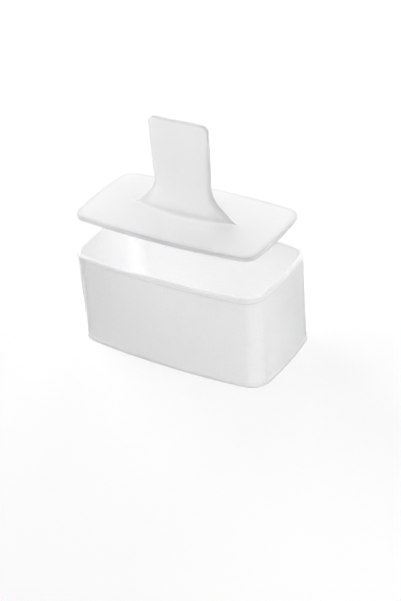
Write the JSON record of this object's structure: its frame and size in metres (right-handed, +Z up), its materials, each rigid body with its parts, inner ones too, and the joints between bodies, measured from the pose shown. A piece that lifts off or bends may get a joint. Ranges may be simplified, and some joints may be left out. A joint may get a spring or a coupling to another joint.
{
  "type": "rice block mold with press",
  "caption": "Open-ended rectangular sleeve with bowed sides and rounded corners, and a loose flat press with an upright blade handle that slides down inside it.",
  "frame": {"origin": "on the table, at the middle of the sleeve's foot", "axes": "+Z up, out of the sleeve and along the press's travel; +X along the sleeve's length; Y across it"},
  "size_m": [0.1, 0.0548, 0.1114],
  "materials": {
    "sleeve_plastic": "frosted natural polypropylene, fine moulded grain",
    "press_plastic": "frosted natural polypropylene, satin"
  },
  "bodies": {
    "sleeve": {"mold_sleeve": "sleeve_plastic"},
    "press": {"press": "press_plastic"}
  },
  "joints": [
    {"name": "press_slide", "type": "slide", "parent": "sleeve", "child": "press", "axis": [0, 0, 1], "range_m": [-0.0635, 0.04]}
  ]
}
